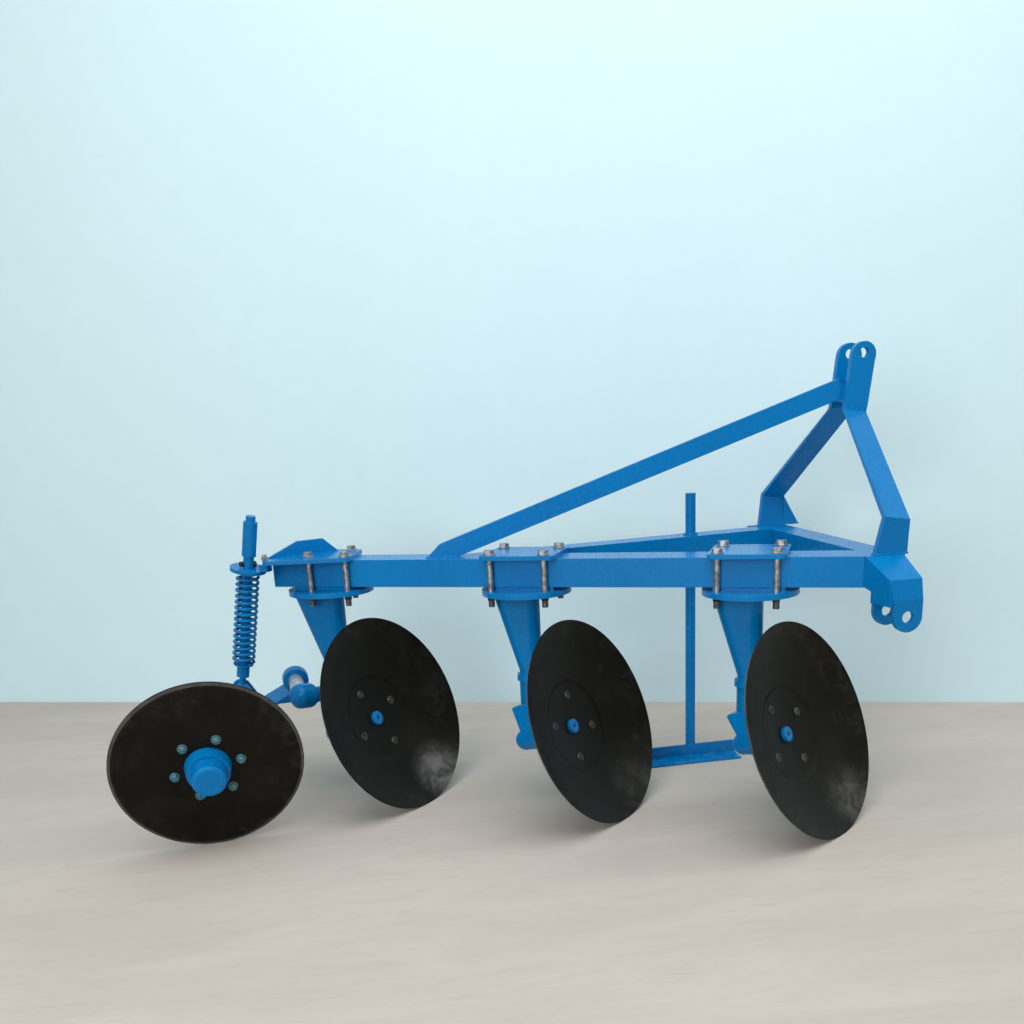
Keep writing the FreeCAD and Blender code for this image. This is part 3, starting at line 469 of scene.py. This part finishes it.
def add_disc_bolts(name, finish, phase):
    """Four round-headed plough bolts with nuts behind the hub, on one disc."""
    spin = joint_matrix(name + "_disc_spin")
    mesh = bmesh.new()
    head = [(0, -0.001), (0.0125, -0.001), (0.0128, 0.0006), (0.0112, 0.0030), (0.0080, 0.0042),
            (0.0056, 0.0044), (0.0050, 0.0020), (0, 0.0020)]
    back = spin @ Matrix.Rotation(math.pi, 4, "X")
    for k in range(4):
        lathe(mesh, head, around(spin, phase + 90 * k, BOLT_CIRCLE, SEAT_HEIGHT))
        behind = around(back, -phase - 90 * k, BOLT_CIRCLE, FLANGE_DEPTH)
        washer(mesh, 0.0135, 0.0022, behind)
        hexagon(mesh, 0.0190, 0.0110, behind @ Matrix.Translation((0, 0, 0.0022)))
        thread(mesh, 0.0060, 0.0200, BOLT_PITCH, behind)
    piece(name + "_disc_bolts", mesh, finish, name + "_disc_set")


def add_disc_cap(name, finish, dark):
    """Turned rim on the pilot cap, with a dark disc in its centre as painted shade of the recess."""
    spin = joint_matrix(name + "_disc_spin")
    top = CAP_HEIGHT
    mesh = bmesh.new()
    lathe(mesh, [(0.0196, top - 0.004), (0.0199, top - 0.0004), (0.0190, top + 0.0008), (0.0150, top + 0.0014),
                 (0.0070, top + 0.0016), (0.0052, top + 0.0006), (0.0048, top - 0.0010)], spin, 36)
    piece(name + "_disc_cap_face", mesh, finish, name + "_disc_set", 60)
    mesh = bmesh.new()
    # dark disc filling the cap's centre hole: painted shade of the recess
    recess_shade = [(0.0049, top - 0.0012), (0.0049, top + 0.0002), (0.0034, top + 0.0010), (0, top + 0.0011)]
    lathe(mesh, recess_shade, spin, 16)
    piece(name + "_disc_cap_recess_shade", mesh, dark, name + "_disc_set", 60)


def add_wheel_bolts(finish, blue):
    """Six wheel bolts through plate and flange, with a grease nipple and a turned trim on the hub's cap."""
    spin = joint_matrix("furrow_wheel_spin")
    back = spin @ Matrix.Rotation(math.pi, 4, "X")
    mesh = bmesh.new()
    for k in range(6):
        angle = WHEEL_BOLT_PHASE + 60 * k
        front = around(spin, angle, WHEEL_BOLT_CIRCLE, WHEEL_FACE)
        washer(mesh, 0.0130, 0.0020, front)
        hexagon(mesh, 0.0200, 0.0080, front @ Matrix.Translation((0, 0, 0.0020)))
        lathe(mesh, [(0.0075, 0.0095), (0.0062, 0.0118), (0, 0.0128)], front, 16)
        behind = around(back, -angle, WHEEL_BOLT_CIRCLE, WHEEL_BACK)
        washer(mesh, 0.0130, 0.0020, behind)
        hexagon(mesh, 0.0190, 0.0100, behind @ Matrix.Translation((0, 0, 0.0020)))
        thread(mesh, 0.0060, 0.0190, BOLT_PITCH, behind)
    piece("furrow_wheel_bolts", mesh, finish, "furrow_wheel_set")
    mesh = bmesh.new()
    nipple = around(spin, 338, 0.0425, 0.066) @ Matrix.Rotation(math.radians(90), 4, "Y")
    lathe(mesh, [(0, 0), (0.0055, 0), (0.0055, 0.0045), (0.0034, 0.0055), (0.0034, 0.0075), (0.0042, 0.0090),
                 (0.0020, 0.0105), (0, 0.0106)], nipple, 12)
    ring = [(0.0392, 0.0700), (0.0420, 0.0712), (0.0408, 0.0746), (0.0378, 0.0764), (0.0300, 0.0766),
            (0.0290, 0.0758)]
    lathe(mesh, ring, spin, 48)
    piece("furrow_wheel_cap_trim", mesh, blue, "furrow_wheel_set")


def add_clamp_threads(name, dark, bright):
    """Threaded ends and nuts under a flange, washers and turned crowns at the heads of its four bolts."""
    mesh = bmesh.new()
    caps = bmesh.new()
    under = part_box(name + "_standard_flange")[0].z
    nut = [(0.0092, 0), (0.0104, 0.0002), (0.0106, 0.0100), (0.0094, 0.0112), (0.0080, 0.0112)]
    ring = [(0.0150, 0), (0.0168, 0.0003), (0.0168, 0.0024), (0.0160, 0.0031), (0.0120, 0.0031)]
    crown = [(0.0106, -0.0008), (0.0100, 0.0004), (0.0060, 0.0006), (0, 0.0006)]
    for group in islands(name + "_clamp_bolts"):
        low = min(p.z for p in group)
        foot = [p for p in group if p.z < low + 0.003]
        x = sum(p.x for p in foot) / len(foot)
        y = sum(p.y for p in foot) / len(foot)
        down = Matrix.Translation((x, y, under)) @ Matrix.Rotation(math.pi, 4, "X")
        thread(mesh, 0.0088, under - low + 0.0010, CLAMP_PITCH, down)
        lathe(mesh, nut, down, 6)
        head = max(p.z for p in group)
        lathe(caps, ring, Matrix.Translation((x, y, head - HEAD_STACK)), 32)
        lathe(caps, crown, Matrix.Translation((x, y, head)), 24)
    piece(name + "_bolt_threads", mesh, dark, "frame", 20)
    piece(name + "_bolt_washers", caps, bright, "frame", 40)


def end_centres(name):
    """Centres of the lowest and highest rims of a node."""
    points = node_points(name)
    low = min(p.z for p in points)
    high = max(p.z for p in points)
    ends = []
    for level in (low, high):
        near = [p for p in points if abs(p.z - level) < 0.012]
        ends.append(sum(near, Vector()) / len(near))
    return ends


def add_strut_bolt(dark, bright):
    """Bolt through the neck of the strut's sleeve, just over the spring seat, and a washer at its top."""
    low, high = end_centres("strut_sleeve")
    line = (high - low).normalized()
    middle = low + line * STRUT_BOLT_RISE
    side = Vector((-0.93, -0.36, 0.0))
    side = (side - line * side.dot(line)).normalized()
    mesh = bmesh.new()
    start = axis_matrix(middle - side * 0.021, side)
    lathe(mesh, [(0, 0), (0.0050, 0), (0.0050, 0.034), (0.0072, 0.034), (0.0074, 0.046), (0.0046, 0.0470),
                 (0.0044, 0.0420), (0, 0.0420)], start, 20)
    hexagon(mesh, 0.0170, 0.0070, axis_matrix(middle - side * 0.0150, -side))
    piece("strut_neck_bolt", mesh, dark, "frame")
    mesh = bmesh.new()
    collar = axis_matrix(high - line * 0.002, line)
    rim = [(0.0125, 0.000), (0.0158, 0.0006), (0.0158, 0.0040), (0.0130, 0.0050), (0.0105, 0.0050)]
    lathe(mesh, rim, collar, 28)
    piece("strut_top_washer", mesh, bright, "frame")


def add_welds(finish):
    """Weld beads round the feet and heads of the joined steel."""
    for name in ("front", "middle", "rear"):
        column = name + "_standard_column"
        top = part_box(column)[1].z
        mesh = bmesh.new()
        rim = [p for p in node_points(column) if p.z > top - 0.0005]
        bead(mesh, outline(rim, top - 0.0015), 0.0034, True)
        piece(name + "_column_weld", mesh, finish, "frame", 60)
    for name in ("mast_right_leg", "mast_left_leg", "mast_brace"):
        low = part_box(name)[0].z
        foot = [p for p in node_points(name) if p.z < low + 0.0008]
        mesh = bmesh.new()
        bead(mesh, outline(foot, low + 0.0010), 0.0026, True)
        piece(name + "_weld", mesh, finish, "frame", 60)
    beam = node_points("main_beam")
    tail = min(beam, key=lambda p: p.x)
    nose = max(beam, key=lambda p: p.x)
    along = Vector((nose.x - tail.x, nose.y - tail.y, 0)).normalized()
    across = Vector((-along.y, along.x, 0))
    for name in ("rear_brace", "front_crossbar"):
        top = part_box(name)[1].z
        upper = [p for p in node_points(name) if p.z > top - 0.0005]
        nearest = min((p - tail).dot(across) for p in upper)
        seam = [p for p in upper if (p - tail).dot(across) < nearest + 0.0015]
        seam.sort(key=lambda p: p.dot(along))
        mesh = bmesh.new()
        bead(mesh, [seam[0].copy(), seam[-1].copy()], 0.0032, False)
        piece(name + "_weld", mesh, finish, "frame", 60)


# ---------------------------------------------------------------- stage, lights, camera

def plane(name, corners, material):
    mesh = bpy.data.meshes.new(name)
    mesh.from_pydata(corners, [], [list(range(len(corners)))])
    made = bpy.data.objects.new(name, mesh)
    bpy.context.scene.collection.objects.link(made)
    mesh.materials.append(material)


def make_stage():
    """Floor, and a wall behind the plough that is clear from its far side."""
    out = FLOOR_REACH
    floor = [(-out, -out, 0), (out, -out, 0), (out, out, 0), (-out, out, 0)]
    plane("studio_floor", floor, stage_material("floor_paint", FLOOR, 0.08))
    left = HITCH + Vector(WALL_LEFT)
    right = HITCH + Vector(WALL_RIGHT)
    rise = Vector((0, 0, WALL_RISE))
    wall = [left, right, right + rise, left + rise]
    plane("studio_wall", wall, stage_material("wall_paint", WALL, 0.012, one_sided=True))


def area_light(name, place, target, size, power):
    data = bpy.data.lights.new(name, "AREA")
    data.shape = "DISK"
    data.size = size
    data.energy = power
    lamp = bpy.data.objects.new(name, data)
    bpy.context.scene.collection.objects.link(lamp)
    lamp.location = place
    direction = Vector(target) - Vector(place)
    lamp.rotation_euler = direction.to_track_quat("-Z", "Y").to_euler()


def make_lights():
    """Large softboxes above and in front, and a world that is paler overhead and behind."""
    world = bpy.data.worlds.new("studio")
    bpy.context.scene.world = world
    world.use_nodes = True
    tree = world.node_tree
    background = tree.nodes["Background"]
    background.inputs["Color"].default_value = rgba(WORLD_TINT)
    direction = add_node(tree, "ShaderNodeTexCoord").outputs["Generated"]
    lift = vector_value(tree, "DOT_PRODUCT", direction, (0.0, 0.45, 0.89))
    paths = add_node(tree, "ShaderNodeLightPath").outputs
    seen = calculate(tree, "MAXIMUM", paths["Is Camera Ray"], paths["Is Glossy Ray"])
    seen = calculate(tree, "MAXIMUM", seen, paths["Is Transmission Ray"])
    unseen = calculate(tree, "SUBTRACT", 1.0, seen)
    lighting = scaled(tree, ramp(tree, lift, -0.4, 0.9, 0.14, 0.62), unseen)
    strength = calculate(tree, "ADD", scaled(tree, seen, WORLD_SEEN), lighting)
    tree.links.new(strength, background.inputs["Strength"])
    area_light("overhead_softbox", (0.1, -1.3, 3.9), (0, -0.3, 0.3), 4.4, 108)
    area_light("front_softbox", (-3.0, -4.8, 2.1), (0, 0, 0.4), 3.2, 165)
    area_light("side_softbox", (4.0, -0.1, 3.3), (0.2, 0, 0.3), 2.0, 60)


def make_camera():
    """Camera placed from the hitch: turned left of the beam's side, looking slightly down."""
    place = HITCH + Vector(CAMERA_PLACE)
    yaw, pitch, roll = CAMERA_YAW, CAMERA_PITCH, CAMERA_ROLL
    forward = Vector((-math.sin(yaw) * math.cos(pitch), math.cos(yaw) * math.cos(pitch), -math.sin(pitch)))
    right = Vector((math.cos(yaw), math.sin(yaw), 0))
    up = right.cross(forward)
    level = math.cos(roll) * right + math.sin(roll) * up
    upright = math.cos(roll) * up - math.sin(roll) * right
    data = bpy.data.cameras.new("camera")
    data.sensor_width = 36
    data.lens = CAMERA_LENS
    data.shift_x, data.shift_y = CAMERA_SHIFT
    camera = bpy.data.objects.new("camera", data)
    bpy.context.scene.collection.objects.link(camera)
    turn = Matrix((level, upright, -forward)).transposed()
    camera.matrix_world = Matrix.Translation(place) @ turn.to_4x4()
    bpy.context.scene.camera = camera


def paint_cad_nodes(blue, zinc, bright):
    """Gives every CAD node its material."""
    for name, node in frame["nodes"].items():
        if name.endswith("_disc"):
            finish = blade_steel(JOINTS[name + "_spin"], name + "_steel", DISC_RIM, 1.0, False, RUBBED_AND_HIGHLIGHT[name])
        elif name == "furrow_wheel":
            finish = blade_steel(JOINTS["furrow_wheel_spin"], "furrow_wheel_steel", WHEEL_RIM, 0.5, True, 0.0)
        elif name == "pivot_pin":
            finish = bright
        elif name.endswith("clamp_bolts") or name == "seat_bolt":
            finish = zinc
        else:
            finish = blue
        node.data.materials.clear()
        node.data.materials.append(finish)


bpy.context.scene.view_settings.view_transform = "Standard"
make_stage()
make_lights()
make_camera()

blue = blue_paint()
zinc_plate = plated_steel("zinc_plate", ZINC, ZINC_STAIN)
black_bolt = plated_steel("black_bolt", (0.030, 0.028, 0.024), (0.085, 0.080, 0.070), 0.5, 0.34)
dark_thread = plated_steel("dark_thread", (0.018, 0.020, 0.026), (0.060, 0.064, 0.075), 0.6, 0.36)
teal_bolt = plated_steel("teal_bolt", (0.020, 0.200, 0.290), (0.150, 0.200, 0.190), 0.6, 0.30)
bright_pin = plated_steel("bright_pin", (0.62, 0.63, 0.66), (0.42, 0.43, 0.45), 0.55, 0.24)
paint_cad_nodes(blue, zinc_plate, bright_pin)
for disc, phase in DISC_BOLT_PHASE.items():
    add_disc_bolts(disc, black_bolt, phase)
    add_disc_cap(disc, blue, dark_thread)
    add_clamp_threads(disc, dark_thread, zinc_plate)
add_wheel_bolts(teal_bolt, blue)
add_strut_bolt(dark_thread, blue)
add_welds(blue)
